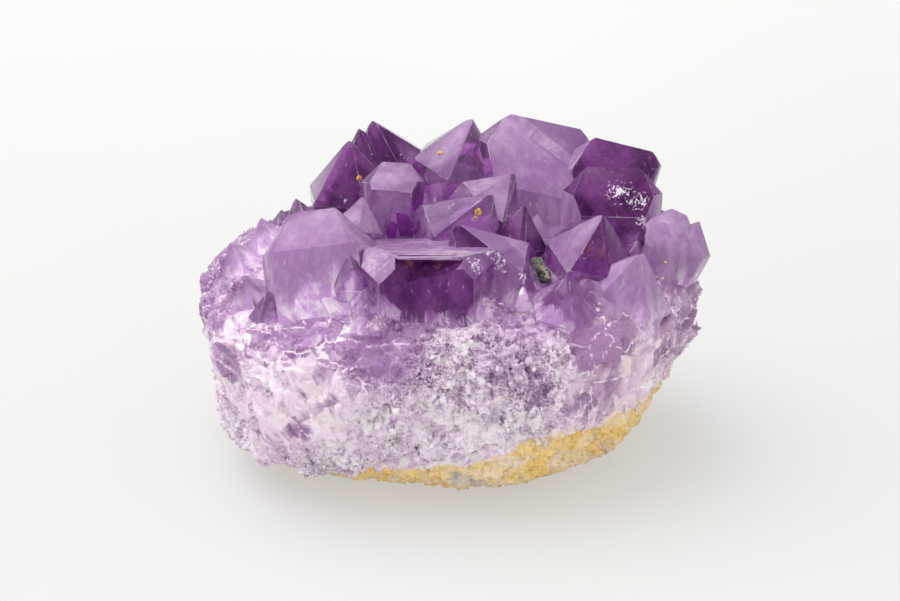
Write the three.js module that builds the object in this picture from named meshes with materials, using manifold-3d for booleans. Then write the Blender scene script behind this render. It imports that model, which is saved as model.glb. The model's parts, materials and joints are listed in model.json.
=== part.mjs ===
// Amethyst cluster: a druse of quartz points on the quartz mass they grew from, over a crust of
// weathered matrix. Millimetres, +Z up, the crust resting on z = 0, the points' fullest side to -Y.

import * as THREE from 'three';
import { ConvexGeometry } from 'three/addons/geometries/ConvexGeometry.js';
import { mergeVertices } from 'three/addons/utils/BufferGeometryUtils.js';
import ManifoldModule from 'manifold-3d';

// ---- driving dimensions ------------------------------------------------------------------
const SHIFT = [-1.067, 0.28, 0];          // brings the footprint's middle over the origin
const R_FACE_ANGLE = 51.8;        // degrees between the c axis and a rhombohedral face's normal
const Z_FACE_STEP = 0.03;         // how far the three minor faces stand out, as a share of width
const RIND_GAP = 0.3;             // clearance between crust and quartz
const RIND_FLOOR = 4.5;           // thickness of the crust under the quartz
const RIND_WALL = 3.2;            // thickness of the crust up the side
const ROOTS = 27;                 // height under which no point reaches
const AROUND = 72;                // divisions round the mass

// Sections of the quartz mass: height, then how far it reaches left, right, front and back.
const SECTIONS = [
  { z: 0, left: 35, right: 33, front: 28, back: 27 },
  { z: 3, left: 52, right: 40, front: 34, back: 33 },
  { z: 8, left: 58, right: 46.5, front: 40, back: 38 },
  { z: 14, left: 60, right: 51, front: 43, back: 41 },
  { z: 22, left: 59.5, right: 55, front: 44.5, back: 43 },
  { z: 32, left: 61.5, right: 59, front: 44.5, back: 44 },
  { z: 40, left: 63, right: 61, front: 43.5, back: 43.5 },
  { z: 45, left: 58, right: 60, front: 41, back: 42 },
  { z: 50, left: 46, right: 55, front: 34, back: 38 },
  { z: 53, left: 36, right: 45, front: 22, back: 30 },
  { z: 54.5, left: 20, right: 28, front: 10, back: 18 },
];

const rad = (d) => (d * Math.PI) / 180;
const clamp = (v, a, b) => Math.min(b, Math.max(a, v));
const mix = (a, b, t) => a + (b - a) * t;
const smooth = (a, b, v) => {
  const t = clamp((v - a) / (b - a), 0, 1);
  return t * t * (3 - 2 * t);
};

// ---- the quartz mass and its crust -------------------------------------------------------
function section(z) {
  const top = SECTIONS[SECTIONS.length - 1];
  if (z >= top.z) return top;
  let i = 0;
  while (SECTIONS[i + 1].z < z) i += 1;
  const p = SECTIONS[i];
  const q = SECTIONS[i + 1];
  const t = clamp((z - p.z) / (q.z - p.z), 0, 1);
  const at = (side) => mix(p[side], q[side], t);
  return { left: at('left'), right: at('right'), front: at('front'), back: at('back') };
}

// Broad lumps and upright ribs of the broken flank, as a factor on the radius.
function lumps(turn, z) {
  const high = smooth(2, 20, z);
  const broad = 0.018 * Math.sin(3 * turn + 0.9) + 0.014 * Math.sin(5 * turn - z / 21 + 2.1);
  const ribs = 0.010 * Math.sin(11 * turn + z / 13) + 0.008 * Math.sin(19 * turn - z / 9 + 1.3);
  const shelf = 0.012 * Math.sin(z / 5.2 + 2 * Math.sin(2 * turn + 0.6));
  return 1 + broad * mix(0.6, 1, high) + (ribs + shelf) * mix(0.4, 1, high);
}

function onFlank(turn, z, inset = 0) {
  const s = section(z);
  const a = Math.cos(turn) < 0 ? s.left : s.right;
  const b = Math.sin(turn) < 0 ? s.front : s.back;
  const square = 2.35 + 0.6 * smooth(0.2, 1, -Math.cos(turn - 0.45));
  const c = Math.abs(Math.cos(turn) / a) ** square;
  const d = Math.abs(Math.sin(turn) / b) ** square;
  const r = Math.max(0.5, (c + d) ** (-1 / square) * lumps(turn, z) - inset);
  return new THREE.Vector3(r * Math.cos(turn), r * Math.sin(turn), z);
}

// Height of the crust's lip round the stone: high at the front right, low under the left.
function lip(turn) {
  const lift = 12.4 + 11.2 * Math.cos(turn + 0.62) + 0.9 * Math.sin(4 * turn + 0.8);
  return Math.max(4.4, lift + 0.6 * Math.sin(9 * turn) + 0.4 * Math.sin(17 * turn + 2));
}

// How far the quartz stands out over the crust: most at the left, where it overhangs.
function overhang(turn) {
  return 0.6 + 4.2 * smooth(0.05, 0.95, -Math.cos(turn - 0.35));
}

// A closed skin over rings of points, with a pole at each end.
function skin(rings) {
  const n = rings[0].length;
  const pts = [];
  const tris = [];
  const pole = (ring) => ring.reduce((s, p) => s.add(p), new THREE.Vector3()).divideScalar(n);
  rings.forEach((ring) => ring.forEach((p) => pts.push(p.x, p.y, p.z)));
  const low = pole(rings[0]);
  const high = pole(rings[rings.length - 1]);
  pts.push(low.x, low.y, low.z, high.x, high.y, high.z);
  const last = rings.length * n;
  for (let i = 0; i < n; i += 1) {
    const j = (i + 1) % n;
    tris.push(last, j, i);
    for (let k = 0; k + 1 < rings.length; k += 1) {
      const p = k * n;
      const q = p + n;
      tris.push(p + i, p + j, q + j, p + i, q + j, q + i);
    }
    const p = (rings.length - 1) * n;
    tris.push(p + i, p + j, last + 1);
  }
  const g = new THREE.BufferGeometry();
  g.setAttribute('position', new THREE.Float32BufferAttribute(pts, 3));
  g.setIndex(tris);
  return g;
}

const turns = Array.from({ length: AROUND }, (_, i) => (2 * Math.PI * i) / AROUND);
const shrink = (ring, k) => {
  const mid = ring.reduce((s, p) => s.add(p), new THREE.Vector3()).divideScalar(ring.length);
  return ring.map((p) => new THREE.Vector3(mix(mid.x, p.x, k), mix(mid.y, p.y, k), p.z));
};

// The quartz mass: a bowl-shaped seat in the crust, the broken flank, and a low dome under the
// points. Grown by the clearance it is the tool that hollows the crust.
function quartzMass(grow = 0) {
  const floor = RIND_FLOOR + RIND_GAP - grow;
  const hem = (t) => Math.max(RIND_FLOOR + 0.6, lip(t));
  const level = (p, z) => new THREE.Vector3(p.x, p.y, z);
  const seat = turns.map((t) => {
    const inset = RIND_WALL + overhang(t) + 2.5 - grow;
    return level(onFlank(t, floor, inset), floor);
  });
  const foot = turns.map((t) => {
    const inset = RIND_WALL + overhang(t) - grow;
    return level(onFlank(t, hem(t), inset), hem(t) - grow);
  });
  const edge = turns.map((t) => level(onFlank(t, hem(t), 0.6 - grow), hem(t) + RIND_GAP - grow));
  const rings = [shrink(seat, 0.5), seat, foot, edge];
  const top = SECTIONS[SECTIONS.length - 1].z;
  [0.05, 0.12, 0.2, 0.29, 0.38, 0.48, 0.58, 0.68, 0.78, 0.87, 0.94, 1].forEach((h) => {
    rings.push(turns.map((t) => onFlank(t, mix(hem(t) + 1, top, h), -grow)));
  });
  return skin(rings);
}

// The crust before it is hollowed: flat underneath, its wall following the flank to the lip.
function crustBlock() {
  const wall = (t, k) => onFlank(t, mix(0, lip(t) - RIND_GAP, k), overhang(t));
  const base = turns.map((t) => wall(t, 0));
  const rings = [shrink(base, 0.4), base];
  [0.15, 0.35, 0.6, 0.8, 1].forEach((k) => rings.push(turns.map((t) => wall(t, k))));
  rings.push(shrink(rings[rings.length - 1], 0.8));
  return skin(rings);
}

// ---- one quartz point --------------------------------------------------------------------
// at: the tip. across: width over the prism. lean, toward: tilt of the c axis from upright and
// the bearing it tilts to. spin: bearing of the first face. out: how far each of the six end
// faces stands beyond the tip, which draws the tip out into a chisel edge. wide: what each prism
// face adds to the half width. snapped: a broken top, by depth under the tip, tilt and bearing.
// long: length below the tip.
function quartzPoint({
  at, across, lean = 0, toward = 0, spin = 0, out = [], wide = [], snapped = null, long = 34,
}) {
  const planes = [];
  const plane = (n, d) => planes.push({ n, d });
  const up = Math.cos(rad(R_FACE_ANGLE));
  const side = Math.sin(rad(R_FACE_ANGLE));
  for (let k = 0; k < 6; k += 1) {
    const a = rad(spin + 60 * k);
    const step = (out[k] || 0) + (k % 2 ? Z_FACE_STEP * across : 0);
    plane(new THREE.Vector3(Math.cos(a), Math.sin(a), 0), across / 2 + (wide[k] || 0));
    plane(new THREE.Vector3(side * Math.cos(a), side * Math.sin(a), up), step * side);
  }
  plane(new THREE.Vector3(0, 0, -1), long);
  if (snapped) {
    const [depth, tilt, bearing] = snapped.map((v, i) => (i ? rad(v) : v));
    const n = new THREE.Vector3(
      Math.sin(tilt) * Math.cos(bearing), Math.sin(tilt) * Math.sin(bearing), Math.cos(tilt));
    plane(n, -depth);
  }
  const corners = [];
  const m = new THREE.Matrix3();
  for (let i = 0; i < planes.length; i += 1) {
    for (let j = i + 1; j < planes.length; j += 1) {
      for (let k = j + 1; k < planes.length; k += 1) {
        const [p, q, r] = [planes[i], planes[j], planes[k]];
        m.set(p.n.x, p.n.y, p.n.z, q.n.x, q.n.y, q.n.z, r.n.x, r.n.y, r.n.z);
        if (Math.abs(m.determinant()) < 1e-4) continue;
        const v = new THREE.Vector3(p.d, q.d, r.d).applyMatrix3(m.clone().invert());
        const inside = planes.every((s) => s.n.dot(v) <= s.d + 1e-4);
        if (inside && !corners.some((c) => c.distanceTo(v) < 0.02)) corners.push(v);
      }
    }
  }
  const g = new ConvexGeometry(corners);
  const axis = new THREE.Vector3(-Math.sin(rad(toward)), Math.cos(rad(toward)), 0);
  g.applyMatrix4(new THREE.Matrix4().makeRotationAxis(axis, rad(lean)));
  g.translate(at[0], at[1], at[2]);
  return g;
}

// ---- the points --------------------------------------------------------------------------
// Back row, left to right.
const BACK_ROW = [
  { at: [-25.8, 22, 72.7], across: 22, lean: 5, toward: 170, spin: 10 },
  { at: [-20.2, 32, 74], across: 21, lean: 18, toward: 170, spin: 20, out: [0, 3] },
  { at: [-23.6, 31, 72.2], across: 10, lean: 16, toward: 172, spin: 20 },
  { at: [5.6, 26, 77], across: 21, lean: 15, toward: 5, spin: -15 },
  {
    at: [24, 28, 75], across: 25, lean: 18, toward: 45, spin: 30,
    out: [9, 0, 8, 8, 0, 9], wide: [5, 0, 2, 2, 0, 5],
  },
  {
    at: [43.5, 24, 70.6], across: 17, lean: 15, toward: 10, spin: 30,
    out: [8, 0, 6, 6, 0, 8], wide: [2, 0, 4, 4, 0, 2],
  },
];

// Middle row, left to right.
const MIDDLE_ROW = [
  {
    at: [-13.5, 7, 73], across: 11, lean: 24, toward: 80, spin: 30,
    out: [3, 0, 3, 3, 0, 3], wide: [1, 0, 2, 2, 0, 1],
  },
  { at: [-21.5, -2, 67.8], across: 13, lean: 20, toward: 60, spin: 0 },
  { at: [10.5, -6, 70.4], across: 22, lean: 34, toward: 345, spin: 22 },
  { at: [16.2, 5, 71], across: 16, lean: 38, toward: 12, spin: 20 },
  { at: [18.6, -4, 66.4], across: 15, lean: 13, toward: 0, spin: 10 },
  {
    at: [39.8, 8, 71], across: 16, lean: 8, toward: 80, spin: 30,
    out: [7, 0, 5, 5, 0, 7], wide: [4, 0, 2, 2, 0, 4],
  },
  { at: [37, -14, 68.4], across: 19, lean: 18, toward: 312, spin: -33 },
];

// Front row and the two ends, left to right.
const FRONT_ROW = [
  { at: [-55.5, 3, 53], across: 18, lean: 26, toward: 170, spin: 8 },
  { at: [-48, 10, 56.5], across: 14, lean: 20, toward: 150, spin: 24 },
  { at: [-40, 24, 55.5], across: 13, lean: 22, toward: 140, spin: 14 },
  { at: [-51, -16, 53], across: 19, lean: 20, toward: 200, spin: 4, long: 30 },
  { at: [-58, -6, 47], across: 15, lean: 32, toward: 184, spin: 18, long: 26 },
  { at: [-44, -26, 54], across: 15, lean: 20, toward: 232, spin: 24, long: 30 },
  {
    at: [-33, -16, 70.5], across: 13, lean: 22, toward: 110, spin: 24,
    out: [5, 0, 4, 5, 0, 4], wide: [6, 0, 6, 6, 0, 6], long: 40,
  },
  { at: [-24, -27, 64], across: 11, lean: 12, toward: 240, spin: 20 },
  { at: [-20, -33, 58], across: 8, lean: 16, toward: 262, spin: 5 },
  {
    at: [-5, -25, 81.5], across: 25, lean: 5, toward: 270, spin: 30,
    wide: [3, 0, 4, 4, 0, 3], snapped: [16.5, 20, 90], long: 44,
  },
  { at: [1, -19, 68.5], across: 25, lean: 25, toward: 195, spin: 50 },
  { at: [28, -31, 60], across: 15, lean: 20, toward: 282, spin: 12 },
  { at: [57, -1, 63], across: 14, lean: 22, toward: 20, spin: 10, out: [2, 0, 2, 2, 0, 2] },
  { at: [61.5, -2, 60], across: 12, lean: 24, toward: 0, spin: 30, out: [1, 2, 1, 1, 2, 1] },
  { at: [47, -20, 61], across: 26, lean: 21, toward: 322, spin: 16, long: 42 },
];

// A repeatable scatter between 0 and 1.
const scatter = (i, salt) => {
  const v = Math.sin(i * 127.1 + salt * 311.7) * 43758.5453;
  return v - Math.floor(v);
};

// A rank of points leaning out along the rim between two bearings, falling away at the ends.
function rank({ count, between, inset, height, lean, across, drop, salt }) {
  return Array.from({ length: count }, (_, i) => {
    const bearing = mix(...between, (i + 0.6 * (scatter(i, salt) - 0.5)) / (count - 1));
    const p = onFlank(rad(bearing), 48, mix(...inset, scatter(i, salt + 1)));
    const ends = drop * smooth(0, 50, -p.x) + 4 * smooth(36, 52, p.x);
    return {
      at: [p.x, p.y, mix(...height, scatter(i, salt + 2)) - ends],
      across: mix(...across, scatter(i, salt + 3)),
      lean: mix(...lean, scatter(i, salt + 4)),
      toward: bearing + 40 * (scatter(i, salt + 5) - 0.5),
      spin: 60 * scatter(i, salt + 6),
      out: i % 3 ? [] : [3, 0, 2, 3, 0, 2],
    };
  });
}
const REAR_RIM = rank({
  count: 17, between: [14, 196], inset: [1, 5], height: [56, 62], lean: [18, 40],
  across: [11, 18], drop: 12, salt: 1,
});
const REAR_RANK = rank({
  count: 11, between: [24, 186], inset: [11, 16], height: [62, 69], lean: [6, 22],
  across: [13, 19], drop: 12, salt: 20,
});
const FRONT_RIM = rank({
  count: 15, between: [200, 344], inset: [1, 3.5], height: [50, 55], lean: [26, 48],
  across: [8, 13], drop: 3, salt: 60,
});

// Small points filling the dips between the large ones.
const FILLERS = 44;
const FILL = Array.from({ length: FILLERS }, (_, i) => {
  const bearing = 137.5 * i;
  const share = Math.sqrt((i + 0.5) / FILLERS);
  const p = onFlank(rad(bearing), 48, 0).multiplyScalar(share * 0.93);
  return {
    at: [p.x, p.y, mix(61, 55, share) + 2 * scatter(i, 41) - 5 * smooth(20, 60, -p.x)],
    across: mix(7, 12, scatter(i, 42)),
    lean: 30 * scatter(i, 43),
    toward: bearing + 120 * (scatter(i, 44) - 0.5),
    spin: 60 * scatter(i, 45),
    long: 16,
  };
});

// ---- the two solids ----------------------------------------------------------------------
const wasm = await ManifoldModule();
wasm.setup();
const { Manifold, Mesh } = wasm;

const solid = (geometry) => {
  const g = geometry.clone();
  g.deleteAttribute('normal');
  g.deleteAttribute('uv');
  const merged = mergeVertices(g, 1e-4);
  return new Manifold(new Mesh({
    numProp: 3,
    vertProperties: new Float32Array(merged.attributes.position.array),
    triVerts: new Uint32Array(merged.index.array),
  }));
};
const geometryOf = (manifold) => {
  const mesh = manifold.getMesh();
  const g = new THREE.BufferGeometry();
  g.setAttribute('position', new THREE.BufferAttribute(mesh.vertProperties, 3));
  g.setIndex(new THREE.BufferAttribute(mesh.triVerts, 1));
  const flat = g.toNonIndexed();
  flat.computeVertexNormals();
  flat.translate(...SHIFT);
  return flat;
};

const druse = [
  ...BACK_ROW, ...MIDDLE_ROW, ...FRONT_ROW, ...REAR_RIM, ...REAR_RANK, ...FRONT_RIM, ...FILL,
];
const points = druse.map(quartzPoint);
const rooted = Manifold.union(points.map(solid)).trimByPlane([0, 0, 1], ROOTS);
const amethyst = Manifold.union([solid(quartzMass()), rooted]);
const rind = Manifold.difference(solid(crustBlock()), solid(quartzMass(RIND_GAP)));

const group = new THREE.Group();
group.name = 'amethyst_cluster';
const add = (name, manifold, colour, roughness) => {
  const material = new THREE.MeshStandardMaterial({ color: colour, roughness, metalness: 0 });
  const mesh = new THREE.Mesh(geometryOf(manifold), material);
  mesh.name = name;
  group.add(mesh);
};
add('amethyst', amethyst, 0x8a5cb0, 0.15);
add('rind', rind, 0xd0a34e, 0.9);
export default group;
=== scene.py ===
"""Amethyst cluster: purple quartz points over the pale broken flank they grew from, on ochre crust.

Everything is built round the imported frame. Lengths in the code are metres, and MM turns millimetres
into them. The quartz stays one closed piece: its points keep the frame's flat faces, its flank is
remeshed and chipped, and one cloudy core is sealed inside it. Spots and patches on the stone are
listed by their middle and reach in millimetres.
"""

import json
import math
from itertools import product

import bmesh
import bpy
import numpy as np
from bpy.props import FloatProperty, FloatVectorProperty, IntProperty, PointerProperty
from mathutils import Matrix, Vector
from mathutils.bvhtree import BVHTree

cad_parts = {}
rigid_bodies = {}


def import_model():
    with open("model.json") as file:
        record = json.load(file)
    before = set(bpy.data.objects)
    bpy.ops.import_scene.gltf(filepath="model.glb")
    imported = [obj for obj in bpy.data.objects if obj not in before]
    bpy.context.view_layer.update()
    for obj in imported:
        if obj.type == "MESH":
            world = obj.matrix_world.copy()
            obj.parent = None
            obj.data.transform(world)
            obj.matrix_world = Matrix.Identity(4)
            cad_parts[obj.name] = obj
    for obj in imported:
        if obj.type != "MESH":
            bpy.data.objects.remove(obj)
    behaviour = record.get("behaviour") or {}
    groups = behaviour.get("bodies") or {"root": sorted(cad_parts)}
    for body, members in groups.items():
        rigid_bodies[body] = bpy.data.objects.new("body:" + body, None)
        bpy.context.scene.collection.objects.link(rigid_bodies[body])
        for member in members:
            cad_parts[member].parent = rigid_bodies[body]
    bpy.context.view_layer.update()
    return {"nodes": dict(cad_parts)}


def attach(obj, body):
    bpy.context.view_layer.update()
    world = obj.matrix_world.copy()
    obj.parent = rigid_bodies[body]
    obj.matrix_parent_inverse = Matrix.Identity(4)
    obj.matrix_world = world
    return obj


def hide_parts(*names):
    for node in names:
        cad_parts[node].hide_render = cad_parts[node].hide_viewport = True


bl_info = {
    "name": "Amethyst Cluster",
    "version": (1, 0, 0),
    "blender": (4, 5, 0),
    "location": "View3D > Sidebar > Amethyst",
    "description": "Builds an amethyst cluster round its packed frame",
    "category": "Object",
}

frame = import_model()
MM = 0.001
MIDDLE = Vector((-1.1, 0.3, 38.0)) * MM  # the middle of the stone, which the camera faces
LATTICE = np.random.default_rng(7).random((4096, 4))
LATTICE_STRIDES = (73856093, 19349663, 83492791)
SEED_STRIDE = 40503
FAN_DEPTH = 48 * MM  # the flank's columns fan out from this far under the floor
FAN_LENGTH = 78 * MM  # how far above that the fan has its true width
CHIP_SLOPE = 1.8  # the steepest slope of a chip's face, as a share of its size
# A spot's edge, as shares of its reach: how far it wanders, where it ends and where it is full.
SPOT_WANDER, SPOT_END, SPOT_FULL = 3.4, 2.6, 2.2
QUARTZ_IOR = 1.544
PALE_VIOLET = (0.85, 0.65, 0.93, 1.0)
# The materials of the quartz, in the order of their slots. EDGE is a painted highlight on the
# bevelled edges, SHADED is painted shade.
CLEAR, FLANK, HAZY, DEEP, EDGE, SHADED = range(6)


# ---- settings -----------------------------------------------------------------------------------


class QuartzSettings(bpy.types.PropertyGroup):
    grid: FloatProperty(
        name="Flank Grid", description="Edge length of the remeshed flank",
        default=0.58 * MM, unit="LENGTH",
    )
    columns: FloatProperty(
        name="Columns", description="Relief of the upright broken columns",
        default=2.2 * MM, unit="LENGTH",
    )
    chips: FloatProperty(
        name="Chips", description="Relief of the chipped faces between them",
        default=1.3 * MM, unit="LENGTH",
    )
    grains: FloatProperty(
        name="Grains", description="Relief of the finest broken grains",
        default=0.6 * MM, unit="LENGTH",
    )
    # The bevel is real rounding of the edges; its paler colour is a painted edge highlight.
    edge: FloatProperty(
        name="Edge Highlight", description="Width of the bevel between two faces, painted as a highlight",
        default=0.08 * MM, unit="LENGTH",
    )
    violet: FloatVectorProperty(
        name="Violet", description="Colour that the clear quartz lets through",
        default=(0.66, 0.10, 0.74), size=3, min=0.0, max=1.0, subtype="COLOR",
    )
    depth: FloatProperty(
        name="Depth of Colour",
        description="How fast the clear quartz darkens with depth, per metre",
        default=60.0,
    )
    loose: FloatProperty(
        name="Loose Chips",
        description="Chips standing on each square metre of the roughest flank",
        default=7.0e5,
    )
    chip_size: FloatProperty(
        name="Chip Size", description="Middle size of a chip", default=0.95 * MM, unit="LENGTH"
    )
    druse: FloatProperty(
        name="Small Points",
        description="Small points standing on each square metre where they grow",
        default=1.6e5,
    )
    seed: IntProperty(name="Seed", description="Seed of the scatter", default=5)


class CrustSettings(bpy.types.PropertyGroup):
    grid: FloatProperty(
        name="Crust Grid", description="Edge length of the remeshed crust",
        default=0.55 * MM, unit="LENGTH",
    )
    relief: FloatProperty(
        name="Crust Relief", description="Height of the lumps and pits of the crust",
        default=1.5 * MM, unit="LENGTH",
    )
    ochre: FloatVectorProperty(
        name="Ochre", description="Main colour of the weathered crust",
        default=(0.95, 0.61, 0.16), size=3, min=0.0, max=1.0, subtype="COLOR",
    )


class StageSettings(bpy.types.PropertyGroup):
    lens: FloatProperty(name="Lens", description="Focal length in millimetres", default=100.0)
    distance: FloatProperty(
        name="Distance", description="Camera to the middle of the stone",
        default=635.0 * MM, unit="LENGTH",
    )
    elevation: FloatProperty(
        name="Elevation", description="Height of the camera above the horizon",
        default=math.radians(27.0), subtype="ANGLE",
    )


# ---- shapes in numbers --------------------------------------------------------------------------


def lattice(cells, seed):
    """Four repeatable random numbers for each whole-number cell."""
    k = cells.astype(np.int64) * LATTICE_STRIDES
    key = k[:, 0] ^ k[:, 1] ^ k[:, 2] ^ (seed * SEED_STRIDE)
    return LATTICE[key & (len(LATTICE) - 1)]


def soft_noise(points, size, seed):
    """Smooth noise from 0 to 1 with features about size across."""
    q = points / size
    base = np.floor(q)
    t = q - base
    t = t * t * (3 - 2 * t)
    total = np.zeros(len(points))
    for corner in product((0, 1), repeat=3):
        x, y, z = np.where(corner, t, 1 - t).T
        total += x * y * z * lattice(base + corner, seed)[:, 0]
    return total


def broken_faces(points, size, seed, tall=1.0):
    """Each cell of space is one flat chip with its own height and slope: 0 to about 1."""
    q = points / (np.array((1.0, 1.0, tall)) * size)
    base = np.floor(q)
    best = np.full(len(q), 9.0)
    value = np.zeros(len(q))
    for neighbour in product((-1, 0, 1), repeat=3):
        cell = base + neighbour
        away = q - cell - lattice(cell, seed)[:, :3]
        far = (away**2).sum(1)
        near = far < best
        best[near] = far[near]
        chip = lattice(cell[near], seed + 11)
        slope = ((chip[:, :3] - 0.5) * away[near]).sum(1)
        value[near] = chip[:, 3] + CHIP_SLOPE * slope
    return np.clip(value, -0.3, 1.3)


def fanned(points):
    """The points gathered sideways with height, so that columns over them fan out upwards."""
    out = points.copy()
    out[:, :2] *= (FAN_LENGTH / (points[:, 2] + FAN_DEPTH))[:, None]
    return out


def step(low, high, v):
    """A smooth step from 0 at low to 1 at high."""
    t = np.clip((v - low) / (high - low), 0, 1)
    return t * t * (3 - 2 * t)


# ---- meshes -------------------------------------------------------------------------------------


def vectors(items, key):
    """One vector of each of a mesh's items, as rows."""
    flat = np.empty(len(items) * 3)
    items.foreach_get(key, flat)
    return flat.reshape(-1, 3)


def add_piece(name, data):
    piece = bpy.data.objects.new(name, data)
    bpy.context.scene.collection.objects.link(piece)
    return piece


def as_mesh(bm, name):
    """The contents of a bmesh as a mesh. The bmesh is freed."""
    mesh = bpy.data.meshes.new(name)
    bm.to_mesh(mesh)
    bm.free()
    return mesh


def frame_solid(node):
    """A merged copy of a frame node, its flat faces whole again."""
    bm = bmesh.new()
    bm.from_mesh(frame["nodes"][node].data)
    bmesh.ops.remove_doubles(bm, verts=bm.verts, dist=0.002 * MM)
    bmesh.ops.dissolve_degenerate(bm, edges=bm.edges, dist=0.01 * MM)
    bmesh.ops.dissolve_limit(bm, angle_limit=math.radians(0.6), verts=bm.verts, edges=bm.edges)
    bm.faces.ensure_lookup_table()
    return bm


def evaluated(piece):
    """The piece's mesh with its modifiers applied."""
    graph = bpy.context.evaluated_depsgraph_get()
    return bpy.data.meshes.new_from_object(piece.evaluated_get(graph))


def remeshed(mesh, grid):
    piece = add_piece("remesh", mesh)
    remesh = piece.modifiers.new("remesh", "REMESH")
    remesh.mode = "VOXEL"
    remesh.voxel_size = grid
    out = evaluated(piece)
    bpy.data.objects.remove(piece)
    return out


def save_floats(mesh, **layers):
    """Saves each value, or list of values, on the mesh's vertices under its name."""
    for name, values in layers.items():
        layer = mesh.attributes.new(name, "FLOAT", "POINT")
        values = np.full(len(mesh.vertices), values, dtype=np.float32)
        layer.data.foreach_set("value", values)


# ---- node building ------------------------------------------------------------------------------


class Nodes:
    """A node tree, with a short call for each kind of node used here."""

    def __init__(self, tree):
        self.tree = tree
        tree.nodes.clear()

    def put(self, kind, links=None, **settings):
        """A new node. Its links are sockets or fixed values, by the input's name or number."""
        node = self.tree.nodes.new(kind)
        for key, value in settings.items():
            setattr(node, key, value)
        for key, value in (links or {}).items():
            socket = node.inputs[key]
            if isinstance(value, bpy.types.NodeSocket):
                self.tree.links.new(value, socket)
            elif socket.type == "RGBA" and len(value) == 3:
                socket.default_value = (*value, 1.0)
            else:
                socket.default_value = value
        return node

    def math(self, operation, a, b=0.0):
        return self.put("ShaderNodeMath", {0: a, 1: b}, operation=operation).outputs[0]

    def total(self, first, *others):
        for other in others:
            first = self.math("ADD", first, other)
        return first

    def times(self, first, *others):
        for other in others:
            first = self.math("MULTIPLY", first, other)
        return first

    def minus(self, a, b):
        return self.math("SUBTRACT", a, b)

    def size(self, a):
        return self.math("ABSOLUTE", a)

    def larger(self, a, b):
        return self.math("MAXIMUM", a, b)

    def ramp(self, value, low, high, to_low=0.0, to_high=1.0):
        """A smooth ramp from to_low at low to to_high at high."""
        links = {"Value": value, "From Min": low, "From Max": high}
        links.update({"To Min": to_low, "To Max": to_high})
        node = self.put("ShaderNodeMapRange", links, interpolation_type="SMOOTHSTEP")
        return node.outputs["Result"]

    def mix(self, fac, a, b):
        return self.put("ShaderNodeMix", {0: fac, 6: a, 7: b}, data_type="RGBA").outputs[2]

    def coats(self, colour, *coats):
        """The colour under further coats, each given as its mask and its own colour."""
        for mask, coat in coats:
            colour = self.mix(mask, colour, coat)
        return colour

    def vector(self, operation, a, b):
        node = self.put("ShaderNodeVectorMath", {0: a, 1: b}, operation=operation)
        one_number = operation in ("DOT_PRODUCT", "DISTANCE")
        return node.outputs["Value" if one_number else "Vector"]

    def combined(self, x, y=0.0, z=0.0):
        return self.put("ShaderNodeCombineXYZ", {0: x, 1: y, 2: z}).outputs[0]

    def parts(self, vector):
        return self.put("ShaderNodeSeparateXYZ", {"Vector": vector}).outputs

    def place(self):
        return self.put("ShaderNodeTexCoord").outputs["Object"]

    def attribute(self, name):
        return self.put("ShaderNodeAttribute", attribute_name=name).outputs["Fac"]

    def stretch(self, vector, *scale):
        return self.put("ShaderNodeMapping", {"Vector": vector, "Scale": scale}).outputs["Vector"]

    def fan(self, vector, tall):
        """The same gathering as in fanned, with the height stretched by tall."""
        height = self.total(self.parts(vector)["Z"], FAN_DEPTH)
        near = self.math("DIVIDE", FAN_LENGTH, height)
        return self.vector("MULTIPLY", vector, self.combined(near, near, tall))

    def noise(self, vector, per_metre, detail=4.0, rough=0.55, twist=0.0):
        links = {"Vector": vector, "Scale": per_metre, "Detail": detail}
        links.update({"Roughness": rough, "Distortion": twist})
        return self.put("ShaderNodeTexNoise", links).outputs["Fac"]

    def threads(self, noise, wide, narrow):
        """1 along the thin winding lines where a noise passes its middle."""
        return self.ramp(self.size(self.minus(noise, 0.5)), wide, narrow)

    def cells(self, vector, per_metre, feature="F1"):
        links = {"Vector": vector, "Scale": per_metre}
        return self.put("ShaderNodeTexVoronoi", links, feature=feature).outputs

    def facets(self, vector, per_metre, steep):
        """Height of flat chips, each tilted its own way, and a random value for each."""
        cell = self.cells(vector, per_metre)
        away = self.vector("SUBTRACT", vector, cell["Position"])
        tilt = self.vector("SUBTRACT", cell["Color"], (0.5, 0.5, 0.5))
        slope = self.times(self.vector("DOT_PRODUCT", away, tilt), 2.0 * steep)
        return slope, self.put("ShaderNodeSeparateColor", {"Color": cell["Color"]}).outputs[0]

    def spots(self, place, spots, ragged):
        """1 inside the given balls, with an edge broken up by the ragged value."""
        total = None
        for middle, reach in spots:
            far = self.vector("DISTANCE", place, tuple(v * MM for v in middle))
            far = self.total(far, self.times(ragged, reach * SPOT_WANDER * MM))
            spot = self.ramp(far, reach * SPOT_END * MM, reach * SPOT_FULL * MM)
            total = spot if total is None else self.larger(total, spot)
        return total

    def bump(self, height, distance, strength=1.0, under=None):
        links = {"Height": height, "Distance": distance, "Strength": strength}
        if under is not None:
            links["Normal"] = under
        return self.put("ShaderNodeBump", links).outputs["Normal"]

    def surface(self, colour, rough, relief=None, clear=None, absorb=None, more=None):
        """The Principled surface. Quartz has a share that is clear, and absorbs light inside."""
        values = {"Base Color": colour, "Roughness": rough, **(more or {})}
        if relief is not None:
            values["Normal"] = relief
        if clear is not None:
            values.update({"IOR": QUARTZ_IOR, "Transmission Weight": clear})
        shader = self.put("ShaderNodeBsdfPrincipled", values)
        out = self.put("ShaderNodeOutputMaterial", {"Surface": shader.outputs[0]})
        if absorb:
            through, density = absorb
            links = {"Color": (*through, 1.0), "Density": density}
            volume = self.put("ShaderNodeVolumeAbsorption", links)
            self.tree.links.new(volume.outputs[0], out.inputs["Volume"])


def new_material(name):
    material = bpy.data.materials.new(name)
    material.use_nodes = True
    n = Nodes(material.node_tree)
    return material, n, n.place()


# ---- materials ----------------------------------------------------------------------------------

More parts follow.
